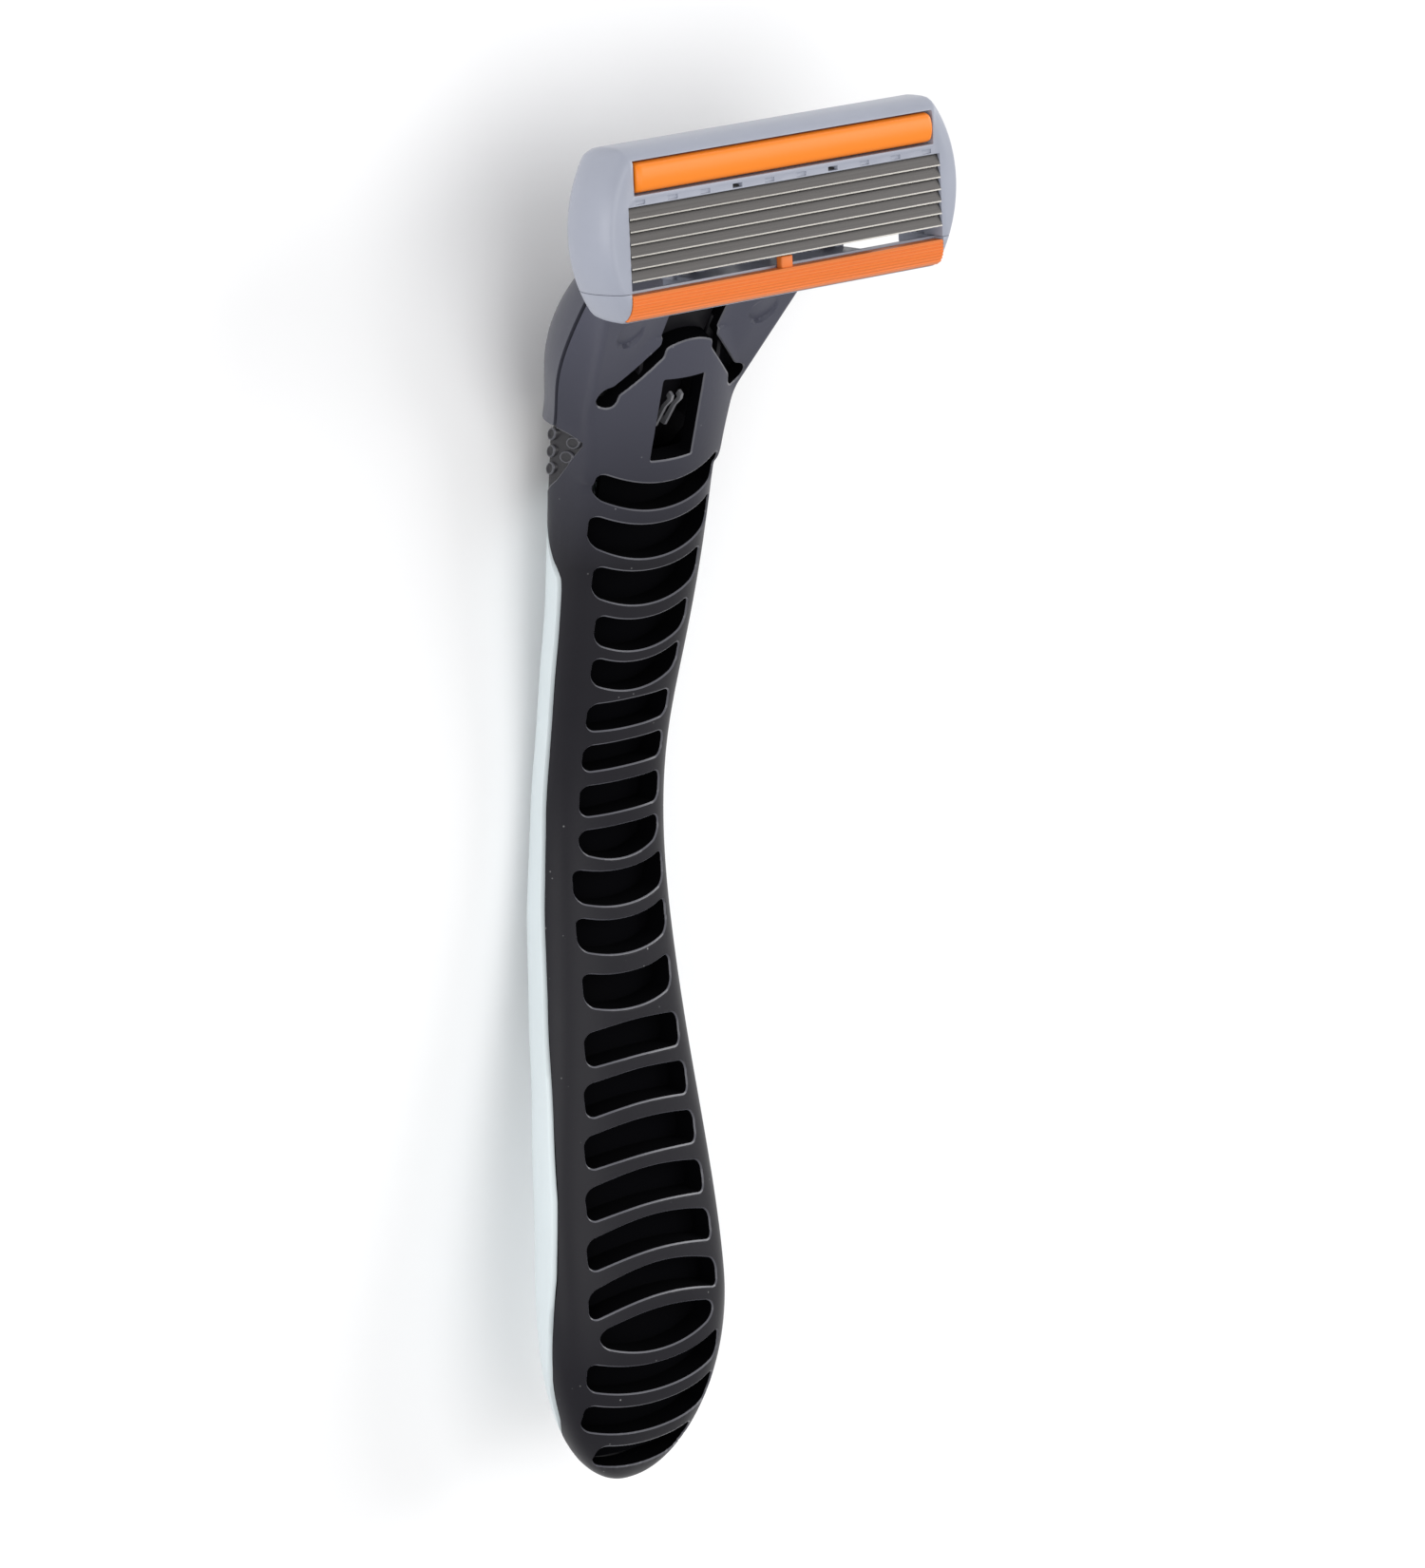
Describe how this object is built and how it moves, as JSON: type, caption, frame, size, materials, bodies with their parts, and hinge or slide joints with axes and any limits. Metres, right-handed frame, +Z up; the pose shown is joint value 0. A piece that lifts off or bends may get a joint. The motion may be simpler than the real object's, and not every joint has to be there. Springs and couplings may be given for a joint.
{
  "type": "cartridge razor",
  "caption": "Cartridge razor: a pivoting head with stacked blades, a spring-loaded release button on the neck and a long pocketed grip, lying on its back.",
  "frame": {"origin": "centre of the flat rest land on the back of the grip, where the razor touches the table", "axes": "+X across the razor, +Y along the grip towards the head, +Z up, out of the side that the blades face"},
  "size_m": [0.042, 0.1313, 0.0259],
  "materials": {
    "head_plastic": "satin blue-grey plastic",
    "strip_orange": "soft satin orange strip",
    "guard_orange": "soft ribbed orange rubber",
    "blade_steel": "brushed steel with ground bright edges",
    "handle_dark": "satin charcoal plastic",
    "spine_pale": "satin pale grey plastic",
    "mechanism_black": "satin black plastic",
    "button_black": "grained black rubber-like plastic",
    "spring_steel": "drawn spring wire"
  },
  "bodies": {
    "handle": {"handle_frame": "handle_dark", "rear_neck_shell": "handle_dark", "back_spine": "spine_pale", "guide_block": "mechanism_black", "button_spring": "spring_steel", "plunger_spring": "spring_steel"},
    "cartridge": {"cartridge_cover": "head_plastic", "cartridge_base": "head_plastic", "lubricating_strip": "strip_orange", "guard_strip": "guard_orange", "blade_1": "blade_steel", "blade_2": "blade_steel", "blade_3": "blade_steel", "blade_4": "blade_steel", "blade_5": "blade_steel", "blade_6": "blade_steel"},
    "release": {"release_button": "button_black", "ejector_slide": "mechanism_black"},
    "plunger": {"pivot_plunger": "mechanism_black"}
  },
  "joints": [
    {"name": "cartridge_pivot", "type": "hinge", "parent": "handle", "child": "cartridge", "pos_m": [0, 0.05729, 0.01649], "axis": [-1, 0, 0], "range_deg": [0, 40], "stiffness_Nm_per_rad": 0.02, "springref_deg": -17.19},
    {"name": "release_slide", "type": "slide", "parent": "handle", "child": "release", "axis": [0, 0.8988, 0.4384], "range_m": [0, 0.0018], "stiffness_N_per_m": 600, "springref_m": -0.002, "deforming": ["button_spring"]},
    {"name": "plunger_slide", "type": "slide", "parent": "handle", "child": "plunger", "axis": [0, -0.8988, -0.4384], "range_m": [0, 0.0013], "deforming": ["plunger_spring"]}
  ],
  "couplings": [
    {"joint": "plunger_slide", "follows": "cartridge_pivot", "m_per_rad": 0.00176}
  ]
}
